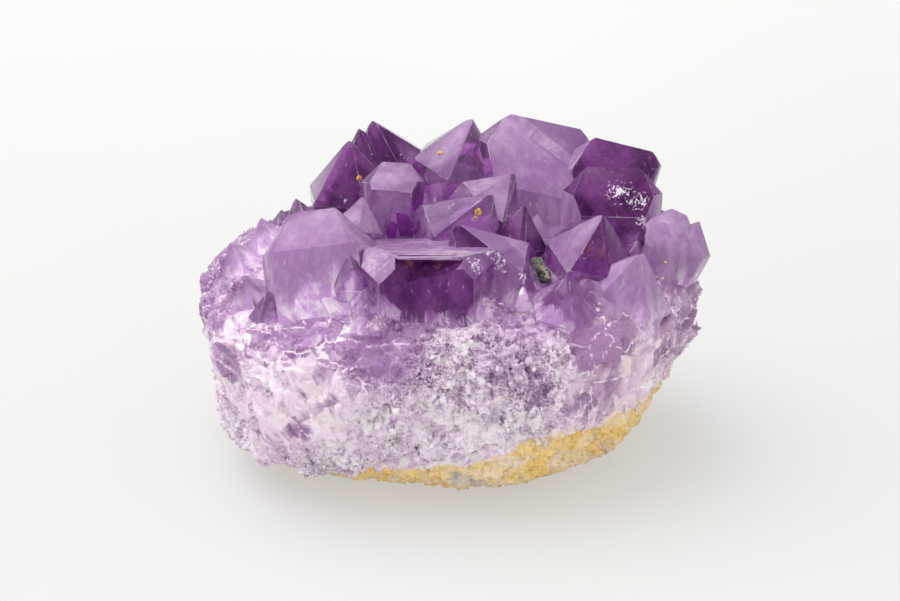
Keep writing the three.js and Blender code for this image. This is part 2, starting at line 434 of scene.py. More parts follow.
# White frost on the points.
FROSTED = (
    ((41.5, 3.6, 66.4), 3.2), ((46.0, 2.2, 65.0), 3.0), ((47.0, -1.0, 60.5), 2.2),
    ((8.5, -25.0, 64.5), 3.2), ((11.0, -25.0, 61.0), 2.6), ((16.5, -25.6, 57.5), 1.8),
    ((4.9, -32.1, 64.0), 2.6), ((-17.0, -33.0, 66.0), 2.4), ((-28.0, 12.6, 60.4), 0.9),
)
# Rusty stains on the points and in the hollow.
RUSTY = (
    ((34.5, -17.2, 61.6), 3.4), ((36.0, -16.0, 57.0), 3.6), ((47.5, -1.9, 60.2), 1.4),
    ((52.2, -9.5, 53.7), 0.9), ((-9.0, -31.5, 64.6), 3.4), ((-3.0, -31.5, 64.6), 2.8),
)
# Where the broken flank runs further up the points.
RISEN = (
    ((-16.0, -36.0, 53.0), 6.0), ((-3.0, -36.0, 50.0), 6.0), ((7.0, -34.0, 52.0), 5.0),
    ((22.0, -33.0, 50.0), 6.0),
)
# The thin ledge over the hollow, and the chip beside it.
LEDGE = (
    ((-14.0, -27.0, 65.0), 7.0), ((-5.0, -28.0, 65.3), 7.0), ((4.0, -28.0, 65.5), 7.0),
    ((-18.5, -30.0, 64.0), 6.5),
)
# The clouded face darkened by painted shade.
SHADOWED_CLOUD_FACE = (((9.0, -19.5, 64.0), 10.0),)
# The largest face: its corner in millimetres, then the ways along, across and out of it.
FACE_CORNER = (19.4, 24.3, 72.4)
FACE_WAYS = ((0.787, -0.386, -0.480), (0.595, 0.670, 0.438), (0.15, -0.63, 0.76))


def fibres(n, place):
    """Fibrous root of the points: violet and white streaks fanning upwards."""
    streak = n.noise(n.fan(place, 0.10), 460.0, 5.0, 0.7)
    cell = n.facets(n.fan(place, 0.4), 560.0, 0.35)[1]
    both = n.total(n.times(streak, 0.8), n.times(cell, 0.2))
    return n.mix(n.ramp(both, 0.40, 0.64), (0.54, 0.30, 0.63), (0.90, 0.76, 0.89))


def root_fade(n, place, low, high):
    """1 where the points run down into the broken flank, 0 on their upper faces."""
    parts = n.parts(place)
    upright = n.stretch(place, 1.0, 1.0, 0.3)
    ragged = n.noise(upright, 240.0, 5.0, 0.7)
    wave = n.noise(upright, 55.0, 2.0)
    level = n.minus(parts["Z"], n.times(ragged, 18 * MM))
    level = n.minus(level, n.times(wave, 36 * MM))
    level = n.total(
        level,
        n.ramp(parts["X"], 20 * MM, 50 * MM, 0.0, 7 * MM),
        n.ramp(parts["X"], -42 * MM, -54 * MM, 0.0, 7 * MM),
    )
    level = n.minus(level, n.times(n.spots(place, RISEN, ragged), 7 * MM))
    return n.ramp(level, high - 27 * MM, low - 27 * MM)


def root_relief(n, place, root, under):
    """The chipped relief of the points' roots over the relief under it."""
    slope = n.facets(n.fan(place, 0.4), 620.0, 0.35)[0]
    return n.bump(n.times(slope, root), 1.0, 0.9, under)


def clear_amethyst(name, clear, deep, dark, light, tint=PALE_VIOLET):
    """Clear violet quartz: growth lines, shallow pits, thin veils, and broken at the root."""
    quartz = bpy.context.scene.quartz
    material, n, place = new_material(name)
    lines = n.noise(n.stretch(place, 1.0, 1.0, 9.0), 260.0, 3.0)
    pits = n.noise(place, 900.0, 3.0, 0.6)
    cloud = n.noise(n.stretch(place, 1.0, 1.0, 0.5), 90.0, 5.0, 0.6, 0.8)
    veil = n.noise(n.stretch(place, 2.2, 2.2, 0.5), 190.0, 6.0, 0.68, 1.2)
    worn = n.ramp(n.noise(place, 95.0, 4.0, 0.6), 0.55, 0.75)
    mottle = n.noise(n.stretch(place, 1.0, 1.0, 0.7), 330.0, 6.0, 0.66, 1.6)
    both = n.total(n.times(cloud, 0.5), n.times(mottle, 0.5))
    scratch = n.noise(n.stretch(place, 1.0, 1.0, 0.4), 210.0, 2.0, 0.5, 1.0)
    scratch = n.times(n.threads(scratch, 0.008, 0.002), n.ramp(mottle, 0.5, 0.62, 0.0, 0.7))
    root = root_fade(n, place, 44 * MM, 56 * MM)
    ragged = n.noise(place, 800.0, 5.0, 0.7)
    earthy = n.noise(n.stretch(place, 1.0, 1.0, 0.6), 560.0, 6.0, 0.75, 0.8)
    rust = n.times(n.spots(place, RUSTY, ragged), n.ramp(earthy, 0.47, 0.60, 0.0, 0.9))
    feather = n.noise(n.stretch(place, 1.0, 0.5, 1.0), 1300.0, 3.0, 0.6, 0.6)
    frost = n.times(n.spots(place, FROSTED, ragged), n.ramp(feather, 0.46, 0.56, 0.0, 0.8))
    colour = n.coats(
        n.mix(n.ramp(both, 0.40, 0.60), dark, light),
        (scratch, (0.90, 0.80, 0.93)),
        (n.ramp(veil, 0.62, 0.80), (0.92, 0.80, 0.93)),
        (root, fibres(n, place)),
        (rust, (0.32, 0.085, 0.06)),
        (frost, (0.93, 0.89, 0.96)),
    )
    body = n.times(
        n.ramp(cloud, 0.3, 0.7, clear + 0.04, clear - 0.1),
        n.ramp(veil, 0.62, 0.82, 1.0, 0.5),
        n.ramp(scratch, 0.0, 1.0, 1.0, 0.4),
        n.ramp(root, 0.0, 1.0, 1.0, 0.25),
        n.ramp(rust, 0.0, 1.0, 1.0, 0.6),
        n.ramp(frost, 0.0, 1.0, 1.0, 0.1),
    )
    rough = n.total(n.ramp(pits, 0.3, 0.7, 0.02, 0.08), n.times(worn, 0.10))
    relief = n.bump(lines, 0.05 * MM, 0.5, n.bump(pits, 0.03 * MM, 0.4))
    n.surface(
        colour, rough, root_relief(n, place, root, relief), body,
        absorb=(quartz.violet, quartz.depth * deep),
        more={"Specular IOR Level": 0.32, "Specular Tint": tint},
    )
    return material


def etched(n, place):
    """The darker strip of the largest face, and the outline of the figure etched beside it."""
    away = n.vector("SUBTRACT", place, tuple(v * MM for v in FACE_CORNER))
    along, across, above = (
        n.times(n.vector("DOT_PRODUCT", away, way), 1 / MM) for way in FACE_WAYS
    )
    near = n.times(
        n.ramp(n.size(above), 3.0, 2.6),
        n.ramp(along, 13.6, 13.0),
        n.ramp(along, -7.0, -3.5),
    )
    strip = n.times(near, n.ramp(across, 3.7, 4.0))
    sides = [
        n.minus(n.size(n.minus(value, half)), half)
        for value, half in ((along, 6.2), (across, 1.85))
    ]
    return strip, n.times(near, n.ramp(n.size(n.larger(*sides)), 0.32, 0.12))


def hazy_amethyst():
    """The same quartz clouded by fine veils, as in the larger, paler points."""
    quartz = bpy.context.scene.quartz
    material, n, place = new_material("hazy_amethyst")
    cloud = n.noise(n.stretch(place, 1.0, 1.0, 0.5), 75.0, 5.0, 0.6, 0.6)
    streak = n.noise(n.stretch(place, 4.0, 4.0, 0.5), 110.0, 3.0)
    veil = n.noise(n.stretch(place, 2.2, 2.2, 0.5), 240.0, 6.0, 0.68, 1.2)
    root = root_fade(n, place, 46 * MM, 61 * MM)
    striae = n.noise(n.stretch(place, 0.10, 1.0, 1.0), 1000.0, 3.0, 0.6)
    striae = n.ramp(striae, 0.48, 0.58, 0.12, 0.85)
    strip, outline = etched(n, place)
    pale = n.ramp(n.times(cloud, streak), 0.12, 0.42)
    colour = n.coats(
        n.mix(pale, (0.50, 0.26, 0.56), (0.72, 0.49, 0.78)),
        (n.ramp(veil, 0.58, 0.74), (0.94, 0.84, 0.94)),
        (root, fibres(n, place)),
        (n.times(n.spots(place, LEDGE, cloud), striae), (0.93, 0.80, 0.91)),
        # Painted shade: the shadowed clouded face turns darker violet.
        (
            n.times(n.spots(place, SHADOWED_CLOUD_FACE, cloud), n.ramp(cloud, 0.35, 0.65, 0.9, 0.7)),
            (0.40, 0.17, 0.48),
        ),
        (n.times(strip, n.ramp(cloud, 0.3, 0.7, 0.9, 0.6)), (0.34, 0.15, 0.42)),
        (n.times(outline, 0.6), (0.30, 0.12, 0.40)),
    )
    n.surface(
        colour,
        n.ramp(n.noise(place, 420.0, 3.0), 0.35, 0.65, 0.08, 0.24),
        root_relief(n, place, root, n.bump(cloud, 0.08 * MM, 0.5)),
        n.ramp(root, 0.0, 1.0, 0.55, 0.15),
        absorb=(quartz.violet, quartz.depth * 0.7),
        more={"Specular IOR Level": 0.4, "Specular Tint": PALE_VIOLET},
    )
    return material


def broken_quartz(name="broken_quartz"):
    """The flank: lilac under the points, milky white lower down, stained near the crust."""
    material, n, place = new_material(name)
    tall = n.fan(place, 0.42)
    slope_a, cell_a = n.facets(tall, 290.0, 0.36)
    slope_b, cell_b = n.facets(n.fan(place, 0.6), 520.0, 0.42)
    slope_c, cell_c = n.facets(place, 1350.0, 0.36)
    grain = n.attribute("grain")
    violet = n.attribute("violet")
    soft = n.noise(place, 150.0, 6.0, 0.68, 0.6)
    fine = n.noise(place, 700.0, 4.0, 0.6)
    random = n.total(n.times(cell_b, 0.68), n.times(cell_c, 0.32))
    streak = n.minus(n.noise(n.fan(place, 0.10), 420.0, 5.0, 0.65), 0.5)
    streak = n.times(streak, n.attribute("columns"))
    tint = n.total(violet, n.times(soft, 0.7), n.times(cell_a, 0.6), n.times(cell_b, 0.3))
    tint = n.minus(tint, n.times(streak, 2.6))
    cream = n.ramp(n.noise(place, 75.0, 5.0, 0.65, 0.5), 0.50, 0.64, 0.0, 0.5)
    colour = n.coats(
        n.mix(n.ramp(soft, 0.35, 0.65), (0.89, 0.65, 0.88), (0.99, 0.86, 0.95)),
        (n.ramp(tint, 0.80, 1.15), (0.80, 0.56, 0.81)),
        (n.ramp(tint, 1.1, 1.6), (0.54, 0.27, 0.60)),
        (n.times(cream, n.ramp(tint, 1.05, 0.75)), (0.93, 0.80, 0.74)),
    )
    # Duller, darker mauve towards the right side, growing with X.
    duller_to_the_right = n.ramp(n.parts(place)["X"], 12 * MM, 44 * MM, 0.0, 0.55)
    wiggle = n.larger(
        n.threads(n.noise(place, 480.0, 3.0, 0.6, 0.8), 0.030, 0.010),
        n.threads(n.noise(place, 1000.0, 2.0, 0.6, 1.0), 0.035, 0.012),
    )
    wiggle = n.times(wiggle, n.ramp(grain, 0.25, 0.65))
    bent = n.vector("ADD", tall, n.combined(n.times(soft, 9 * MM)))
    crack = n.cells(bent, 150.0, "DISTANCE_TO_EDGE")["Distance"]
    crack = n.times(n.ramp(crack, 0.030, 0.008), n.ramp(fine, 0.40, 0.56))
    bright = n.times(grain, n.ramp(random, 0.54, 0.66))
    bright = n.larger(n.larger(bright, wiggle), crack)
    bright = n.times(bright, n.ramp(violet, 0.7, 1.3, 1.0, 0.6))
    stain = n.times(n.attribute("stain"), n.ramp(soft, 0.42, 0.60))
    colour = n.coats(
        colour,
        (duller_to_the_right, n.mix(0.5, colour, (0.71, 0.51, 0.61))),
        (n.times(grain, n.ramp(random, 0.34, 0.12)), (0.54, 0.28, 0.66)),
        (bright, (1.0, 0.88, 0.97)),
        (stain, (0.93, 0.70, 0.36)),
    )
    clear = n.times(
        n.ramp(tint, 0.7, 1.4, 0.06, 0.5),
        n.ramp(bright, 0.0, 0.6, 1.0, 0.0),
        n.ramp(stain, 0.0, 0.5, 1.0, 0.0),
    )
    mid = n.times(slope_b, n.ramp(grain, 0.0, 0.8, 0.30, 1.0))
    small = n.times(slope_c, n.ramp(grain, 0.1, 0.9, 0.20, 1.0))
    n.surface(
        colour,
        n.ramp(cell_c, 0.0, 1.0, 0.10, 0.40),
        n.bump(small, 1.0, 0.8, n.bump(mid, 1.0, 0.8, n.bump(slope_a, 1.0, 0.7))),
        clear,
        absorb=((0.80, 0.40, 0.84), 25.0),
        more={
            "Subsurface Weight": 0.45,
            "Subsurface Radius": (1.0, 1.0, 1.0),
            "Subsurface Scale": 1.6 * MM,
        },
    )
    return material


def edge_highlight():
    """The paler, less clear colour of the bevelled edges between the faces of the points: a painted
    edge highlight.
    """
    material, n, place = new_material("edge_highlight")
    fine = n.noise(place, 170.0, 4.0, 0.6)
    n.surface(
        n.mix(n.ramp(fine, 0.4, 0.7), (0.56, 0.30, 0.62), (0.80, 0.62, 0.84)),
        n.ramp(fine, 0.35, 0.65, 0.12, 0.35),
        clear=n.ramp(fine, 0.45, 0.65, 0.85, 0.40),
        absorb=((0.80, 0.40, 0.84), 25.0),
    )
    return material


def small_amethyst():
    """The small points round the edge: pale violet, cloudy at the root."""
    material, n, place = new_material("small_amethyst")
    cloud = n.noise(place, 260.0, 4.0, 0.6)
    n.surface(
        n.mix(n.ramp(cloud, 0.35, 0.65), (0.62, 0.32, 0.68), (0.92, 0.82, 0.93)),
        n.ramp(cloud, 0.3, 0.7, 0.08, 0.25),
        clear=n.ramp(cloud, 0.35, 0.65, 0.7, 0.3),
        absorb=((0.80, 0.30, 0.84), 60.0),
    )
    return material


def speck_brown():
    """Rusty yellow-brown mineral, earthy and dull."""
    material, n, place = new_material("speck_brown")
    fine = n.noise(place, 1600.0, 3.0, 0.6)
    colour = n.mix(n.ramp(fine, 0.4, 0.6), (0.45, 0.24, 0.05), (0.85, 0.55, 0.16))
    n.surface(colour, 0.7, n.bump(fine, 0.1 * MM, 0.8))
    return material


def dark_mineral():
    """Dark grey-green mineral grain, spotted with yellow-white."""
    material, n, place = new_material("dark_mineral")
    fine = n.noise(place, 900.0, 4.0, 0.65)
    colour = n.coats(
        n.mix(n.ramp(fine, 0.35, 0.6), (0.025, 0.028, 0.025), (0.16, 0.16, 0.14)),
        (n.ramp(n.noise(place, 380.0, 5.0, 0.7), 0.54, 0.60), (0.62, 0.54, 0.38)),
    )
    n.surface(colour, n.ramp(fine, 0.3, 0.7, 0.3, 0.75), n.bump(fine, 0.3 * MM, 0.9))
    return material


def milky_quartz():
    """The cloudy quartz under the points, violet at the top and white at the foot."""
    material, n, place = new_material("milky_quartz")
    cloud = n.noise(n.stretch(place, 1.0, 1.0, 0.4), 60.0, 5.0, 0.6, 1.0)
    level = n.total(n.parts(place)["Z"], n.times(cloud, 26 * MM))
    pale = n.ramp(cloud, 0.35, 0.65)
    upper = n.mix(pale, (0.58, 0.36, 0.64), (0.84, 0.70, 0.87))
    lower = n.mix(pale, (0.82, 0.74, 0.84), (0.95, 0.92, 0.94))
    colour = n.mix(n.ramp(level, 62 * MM, 40 * MM), upper, lower)
    n.surface(colour, 0.6, n.bump(cloud, 1.0 * MM, 0.6))
    return material


def ochre_crust():
    """Weathered matrix: earthy ochre with grey patches, pale dust and dark pits."""
    crust = bpy.context.scene.crust
    material, n, place = new_material("ochre_crust")
    broad = n.noise(place, 80.0, 5.0, 0.65)
    fine = n.noise(place, 430.0, 6.0, 0.7)
    slope, cell = n.facets(place, 900.0, 0.3)
    grains, grain = n.facets(place, 2100.0, 0.3)
    pink = n.ramp(n.noise(place, 120.0, 5.0, 0.7, 0.6), 0.54, 0.62)
    above = n.attribute("rim")
    grey = n.ramp(n.noise(place, 95.0, 5.0, 0.65, 1.0), 0.56, 0.64)
    grey = n.times(grey, n.ramp(above, -1.0 * MM, -4.0 * MM), n.ramp(fine, 0.35, 0.55))
    rim = n.total(above, n.times(n.noise(place, 110.0, 6.0, 0.7), 9 * MM))
    quartz = n.coats(
        n.mix(n.ramp(fine, 0.4, 0.6), (0.70, 0.50, 0.72), (0.96, 0.88, 0.92)),
        (n.ramp(cell, 0.5, 0.8), (0.97, 0.90, 0.95)),
    )
    colour = n.coats(
        n.mix(n.ramp(broad, 0.40, 0.56), tuple(crust.ochre), (0.95, 0.72, 0.46)),
        (n.ramp(cell, 0.6, 0.9, 0.0, 0.8), (0.98, 0.75, 0.23)),
        (n.ramp(grain, 0.6, 0.9, 0.0, 0.5), (0.99, 0.86, 0.66)),
        (n.ramp(grain, 0.25, 0.05, 0.0, 0.4), (0.66, 0.43, 0.22)),
        (pink, (0.93, 0.76, 0.66)),
        (grey, (0.62, 0.58, 0.60)),
        (n.ramp(fine, 0.38, 0.28), (0.42, 0.28, 0.15)),
        (n.ramp(rim, 4.2 * MM, 5.4 * MM), quartz),
    )
    relief = n.bump(grains, 1.0, 0.8, n.bump(slope, 1.0, 0.8, n.bump(fine, 0.5 * MM, 0.8)))
    n.surface(colour, n.ramp(fine, 0.3, 0.7, 0.95, 0.7), relief)
    return material


# ---- the quartz ---------------------------------------------------------------------------------

LARGEST_PATCH = 34 * MM * MM  # no larger face belongs to the rounded mass
SHARPEST_BEND = math.radians(36)  # nor does one past a sharper edge


def mark_flank(bm):
    """Gives the rounded mass the flank's material, and leaves the points' flat faces clear."""
    for face in bm.faces:
        face.material_index = CLEAR
    start = min(bm.faces, key=lambda f: f.calc_center_median().z)
    stack = [start]
    start.material_index = FLANK
    while stack:
        for edge in stack.pop().edges:
            for other in edge.link_faces:
                if other.material_index or other.calc_area() > LARGEST_PATCH:
                    continue
                if edge.calc_face_angle(9.0) < SHARPEST_BEND:
                    other.material_index = FLANK
                    stack.append(other)


def sink_flank(bm, depth):
    """Moves the rounded mass of the crisp copy inwards, under the chipped flank."""
    bm.normal_update()
    inner = [v for v in bm.verts if all(f.material_index for f in v.link_faces)]
    for vert, normal in [(v, v.normal.copy()) for v in inner]:
        vert.co -= normal * depth


def tree_of(bm, index):
    """A nearest-surface tree of the faces with one material."""
    copy = bm.copy()
    others = [f for f in copy.faces if f.material_index != index]
    bmesh.ops.delete(copy, geom=others, context="FACES")
    bmesh.ops.triangulate(copy, faces=copy.faces)
    tree = BVHTree.FromBMesh(copy)
    copy.free()
    return tree


def distances(tree, points, reach):
    """Distance of each point from the tree's surface, up to reach."""
    far = (tree.find_nearest(p, reach)[3] for p in points)
    return np.array([reach if d is None else d for d in far])


# Patches of the flank, each with how chipped it is there.
GRANULAR = (
    ((6, -44, 32), 25, 1.0), ((-14, -42, 26), 12, 0.8), ((22, -42, 38), 12, 0.6),
    ((-30, -40, 14), 13, 0.45), ((-52, -26, 14), 12, 0.4), ((0, 44, 30), 26, 0.7),
    ((50, 22, 34), 16, 0.8), ((60, -6, 34), 12, 0.15),
)
SMOOTH = (
    ((58, -8, 44), 12, 0.6), ((7, -44, 22), 11, 0.7), ((44, -32, 38), 20, 0.9),
    ((-40, -38, 32), 16, 0.9), ((-56, -20, 42), 16, 0.8), ((-56, -4, 52), 15, 0.8),
    ((-58, 13, 45), 18, 0.8), ((-38, -34, 50), 15, 0.6), ((-20, -38, 50), 9, 0.3),
    ((-62, 2, 40), 16, 0.7), ((-40, 30, 30), 18, 0.7), ((20, 44, 34), 14, 0.6),
)
# Where it breaks into upright columns, and how strongly.
COLUMNED = (
    ((-44, -34, 44), 24, 1.0), ((-60, 0, 36), 18, 0.6), ((13, -41, 42), 13, 1.0),
    ((56, 4, 36), 16, 0.5), ((20, 44, 36), 22, 0.7), ((-30, 40, 36), 20, 0.7),
)
# Violet and white patches, with their strength.
VIOLET = (
    ((-12, -40, 50), 20, 0.9), ((-21, -40, 46), 10, 1.1), ((-36, -36, 54), 14, 0.6),
    ((-60, -14, 44), 14, 0.15), ((-56, 14, 50), 24, 0.5), ((12, -41, 43), 11, 1.25),
    ((19, -42, 35), 8, 1.1), ((36, -37, 30), 11, 0.4), ((10, -42, 28), 9, 0.55),
    ((36, -34, 46), 16, 0.3), ((34, -36, 43), 9, 0.7), ((54, -14, 40), 18, 0.25),
    ((-50, -26, 12), 9, 0.35), ((-37, -41, 25), 5, 0.9), ((0, 44, 44), 30, 0.6),
    ((0.1, -42.9, 35.4), 3.2, 1.2),
)
WHITE = (
    ((46, -29, 38), 10, 0.55), ((-3, -40, 47), 7, 0.7), ((-42, -40, 34), 14, 0.6),
    ((-51, -25, 45), 9, 0.45), ((8, -44, 22), 20, 0.6), ((-2, -40, 12), 14, 0.4),
    ((44, -30, 20), 18, 0.5), ((-24, -42, 20), 12, 0.4),
)
# Where small points grow, and how densely.
DRUSE = (((61, -3, 43), 6, 0.6), ((0, 40, 50), 30, 0.6), ((50, 26, 46), 18, 0.8))


def patchiness(points, patches):
    """How strongly the patches act at each point: the strongest patch counts."""
    out = np.zeros(len(points))
    for middle, reach, strength in patches:
        far = np.linalg.norm(points - np.array(middle) * MM, axis=1)
        out = np.maximum(out, strength * step(reach * MM, reach * 0.35 * MM, far))
    return out


def violetness(points):
    """How violet the flank is at each point: more under the points, less at the foot."""
    base = 0.08 + 0.52 * step(24 * MM, 56 * MM, points[:, 2])
    base += patchiness(points, VIOLET) - patchiness(points, WHITE)
    return base + 0.5 * (soft_noise(points, 7 * MM, 19) - 0.5)


def graininess(points):
    """How finely broken the flank is at each point, 0 to 1."""
    rough = 0.35 + patchiness(points, GRANULAR) - patchiness(points, SMOOTH)
    return np.clip(rough, 0.03, 1) * (0.6 + 0.7 * soft_noise(points, 9 * MM, 9))


def flank_relief(settings, points, normals):
    """How far the flank stands out at each point: columns, chips and grains on one another."""
    columns = fanned(points)
    grain = graininess(points)
    upright = patchiness(points, COLUMNED)
    relief = settings.columns * (broken_faces(columns, 7.0 * MM, 21, 2.4) - 0.5)
    relief += 2.0 * MM * (broken_faces(columns, 3.0 * MM, 27, 7.0) - 0.5) * (0.12 + upright)
    relief *= 1 - 0.75 * step(0.25, 0.7, normals[:, 2])
    relief += settings.chips * (broken_faces(points, 3.0 * MM, 33, 1.5) - 0.45) * (0.12 + grain)
    return relief + settings.grains * (broken_faces(points, 1.5 * MM, 45) - 0.4) * grain * 1.5


def chipped_mass(crisp, settings, crust):
    """The remeshed stone with its flank broken up, and draped over the crust's lip."""
    source = bpy.data.meshes.new("source")
    crisp.to_mesh(source)
    mesh = remeshed(source, settings.grid)
    points = vectors(mesh.vertices, "co")
    normals = vectors(mesh.vertex_normals, "vector")
    to_face = distances(tree_of(crisp, CLEAR), points, 9 * MM)
    to_mass = distances(tree_of(crisp, FLANK), points, 9 * MM)
    near = distances(crust, points, 9 * MM)
    creep = 0.5 * soft_noise(points, 3.2 * MM, 3) - 0.4
    creep += 0.5 * soft_noise(fanned(points) * (1, 1, 0.3), 2.4 * MM, 4)
    flank = step(-0.5 * MM, 0.9 * MM, to_face - to_mass + creep * 5.5 * MM)
    relief = flank_relief(settings, points, normals)
    relief = relief * (0.25 + 0.75 * step(0.3 * MM, 6 * MM, near))
    move = flank * relief - (1 - flank) * 0.8 * MM
    moved = points + normals * move[:, None]
    out = points[:, :2] / np.linalg.norm(points[:, :2], axis=1)[:, None]
    drape = step(2.6 * MM, 0.7 * MM, near) * step(0.1, 0.5, (normals[:, :2] * out).sum(1))
    drape *= (0.4 + 1.4 * soft_noise(points, 2.5 * MM, 15)) * MM
    moved[:, :2] += out * drape[:, None] * 0.8
    moved[:, 2] -= drape
    mesh.vertices.foreach_set("co", moved.ravel())
    mesh.update()
    return mesh


# Paler, clouded faces of the points.
CLOUDED = (
    ((24, 27, 68), 15), ((-33, -17, 68), 12), ((57, 0, 58), 10), ((61, -3, 56), 9),
    ((-13, 6, 72), 6), ((48, -22, 52), 14), ((-54, 2, 50), 12), ((-37, -27, 58), 9),
    ((-50, -20, 48), 6), ((-18, -30, 64), 4), ((-23, -7, 65), 5), ((9, 3, 70), 5),
    ((27, 12, 52), 13), ((30, -15, 61), 5), ((-8, -29, 67), 8), ((-2, 21.5, 70.3), 2),
    ((11.5, -19.3, 62.9), 1.5),
)
# Deeper coloured faces.
DEEPER = (
    ((41, 2, 65), 13), ((46, 23, 69), 12), ((17, -8, 60), 8), ((-29, 18, 65), 13),
    ((-17, 27, 69), 6), ((-6, -35, 60), 11), ((41, -13, 59), 7), ((36, -19, 57), 5),
    ((7, -18, 64), 8),
)
# The face darkened by painted shade: it takes the shaded material, whose dark reflection tint also
# darkens its reflection.
SHADOWED_FACE = (((38.5, 4, 66.5), 5),)
GRADES = ((DEEP, DEEPER), (HAZY, CLOUDED), (SHADED, SHADOWED_FACE))


def grade_points(bm):
    """Gives the deeply coloured and the clouded faces their own materials, and the shadowed face the
    painted shade of the shaded material.
    """
    for face in (f for f in bm.faces if f.material_index == CLEAR):
        centre = face.calc_center_median_weighted()
        for index, patches in GRADES:
            for middle, reach in patches:
                if (centre - Vector(middle) * MM).length < reach * MM:
                    face.material_index = index


def bevel_and_highlight_edges(bm, width):
    """Bevels the sharp edges of the points and gives the bevels the EDGE material, a painted
    highlight. Those between clouded faces stay clouded.
    """
    edges = [
        e for e in bm.edges
        if e.calc_length() > 1.2 * MM
        and len(e.link_faces) == 2
        and all(f.material_index != FLANK for f in e.link_faces)
        and e.calc_face_angle(0.0) > math.radians(20)
    ]
    # The bevels take the EDGE material, whose paler colour is a painted highlight along the edges.
    bmesh.ops.bevel(
        bm, geom=edges, offset=width, segments=1, affect="EDGES", clamp_overlap=False,
        profile=0.5, offset_type="OFFSET", material=EDGE,
    )
    for face in bm.faces:
        if face.material_index == EDGE:
            beside = {o.material_index for e in face.edges for o in e.link_faces}
            if HAZY in beside and not {CLEAR, DEEP} & beside:
                face.material_index = HAZY


# The hollow's corners in millimetres, each at its front and at its back.
HOLLOW = (
    ((-17.0, -39.0, 66.9), (-13.0, -31.0, 66.4)),
    ((5.5, -39.0, 66.6), (0.5, -31.0, 66.2)),
    ((-1.5, -39.0, 62.6), (-4.0, -31.0, 64.2)),
    ((-11.5, -39.0, 60.0), (-10.5, -31.0, 62.6)),
)


def hollow_cutter():
    """The broken hollow under the thin ledge at the front. Its walls take the shaded material:
    painted shade in the hollow.
    """
    bm = bmesh.new()
    front, back = ([bm.verts.new(Vector(p) * MM) for p in side] for side in zip(*HOLLOW))
    bm.faces.new(front)
    bm.faces.new(back[::-1])
    for k in range(len(HOLLOW)):
        m = (k + 1) % len(HOLLOW)
        bm.faces.new((front[m], front[k], back[k], back[m]))
    bmesh.ops.recalc_face_normals(bm, faces=bm.faces)
    for face in bm.faces:
        face.material_index = SHADED
    return as_mesh(bm, "cutter")


def quartz_materials():
    """The materials of the quartz, from CLEAR to SHADED."""
    return (
        clear_amethyst("clear_amethyst", 0.86, 1.0, (0.44, 0.12, 0.50), (0.74, 0.40, 0.80)),
        broken_quartz(),
        hazy_amethyst(),
        clear_amethyst(
            "deep_amethyst", 0.84, 4.0, (0.32, 0.05, 0.40), (0.56, 0.15, 0.63),
            (0.62, 0.30, 0.72, 1.0),
        ),
        # Painted highlight: the paler colour of the bevelled edges.
        edge_highlight(),
        # Painted shade: darker violet with a dark reflection tint, for the hollow's walls and the
        # shadowed face.
        clear_amethyst(
            "shaded_amethyst", 0.80, 5.0, (0.16, 0.02, 0.22), (0.40, 0.10, 0.42),
            (0.35, 0.12, 0.45, 1.0),
        ),
    )


def sort_faces(mesh):
    """Puts faces and edges in the order of their corners, so that each run gives the same mesh."""
    bm = bmesh.new()
    bm.from_mesh(mesh)

    def key(corners):
        return corners[0].index * len(bm.verts) + corners[1].index

    bm.edges.sort(key=lambda e: key(sorted(e.verts, key=lambda v: v.index)))
    bm.faces.sort(key=lambda f: key(f.verts))
    bm.to_mesh(mesh)
    bm.free()


def join_and_hollow(piece, flank, cutter):
    """Joins the flank to the piece's points and cuts the hollow out, as one plain mesh."""
    others = []
    for name, mesh, operation in (("join", flank, "UNION"), ("hollow", cutter, "DIFFERENCE")):
        others.append(add_piece(name, mesh))
        boolean = piece.modifiers.new(name, "BOOLEAN")
        boolean.operation = operation
        boolean.solver = "MANIFOLD"
        boolean.object = others[-1]
    joined = evaluated(piece)
    sort_faces(joined)
    piece.modifiers.clear()
    piece.data = joined
    for other in others:
        mesh = other.data
        bpy.data.objects.remove(other)
        bpy.data.meshes.remove(mesh)
    return joined


class AMETHYST_OT_quartz(bpy.types.Operator):
    """Build the quartz: crisp points joined to the chipped flank in one closed piece"""

    bl_idname = "amethyst.quartz"
    bl_label = "Quartz"

    def execute(self, context):
        settings = context.scene.quartz
        crisp = frame_solid("amethyst")
        mark_flank(crisp)
        graph = context.evaluated_depsgraph_get()
        crust = BVHTree.FromObject(frame["nodes"]["rind"], graph)
        flank = chipped_mass(crisp, settings, crust)
        sink_flank(crisp, 1.9 * MM)
        grade_points(crisp)
        bevel_and_highlight_edges(crisp, settings.edge)
        bmesh.ops.triangulate(crisp, faces=crisp.faces)
        mesh = as_mesh(crisp, "quartz")
        cutter = hollow_cutter()
        flank.materials.clear()
        for material in quartz_materials():
            for each in (mesh, flank, cutter):
                each.materials.append(material)
        everywhere = np.full(len(flank.polygons), FLANK, dtype=np.int32)
        flank.polygons.foreach_set("material_index", everywhere)
        piece = add_piece("amethyst_quartz", mesh)
        joined = join_and_hollow(piece, flank, cutter)
        joined.set_sharp_from_angle(angle=math.radians(28))
        points = vectors(joined.vertices, "co")
        near = distances(crust, points, 8 * MM)
        under = step(1.5 * MM, -1.0 * MM, above_rim(points))
        save_floats(
            joined,
            stain=step(5.5 * MM, 0.6 * MM, near) * under,
            seam=step(2.4 * MM, 1.4 * MM, near),
            grain=graininess(points),
            violet=violetness(points),
            columns=patchiness(points, COLUMNED),
        )
        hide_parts("amethyst")
        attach(piece, "root")
        return {"FINISHED"}


# ---- chips and small points ---------------------------------------------------------------------


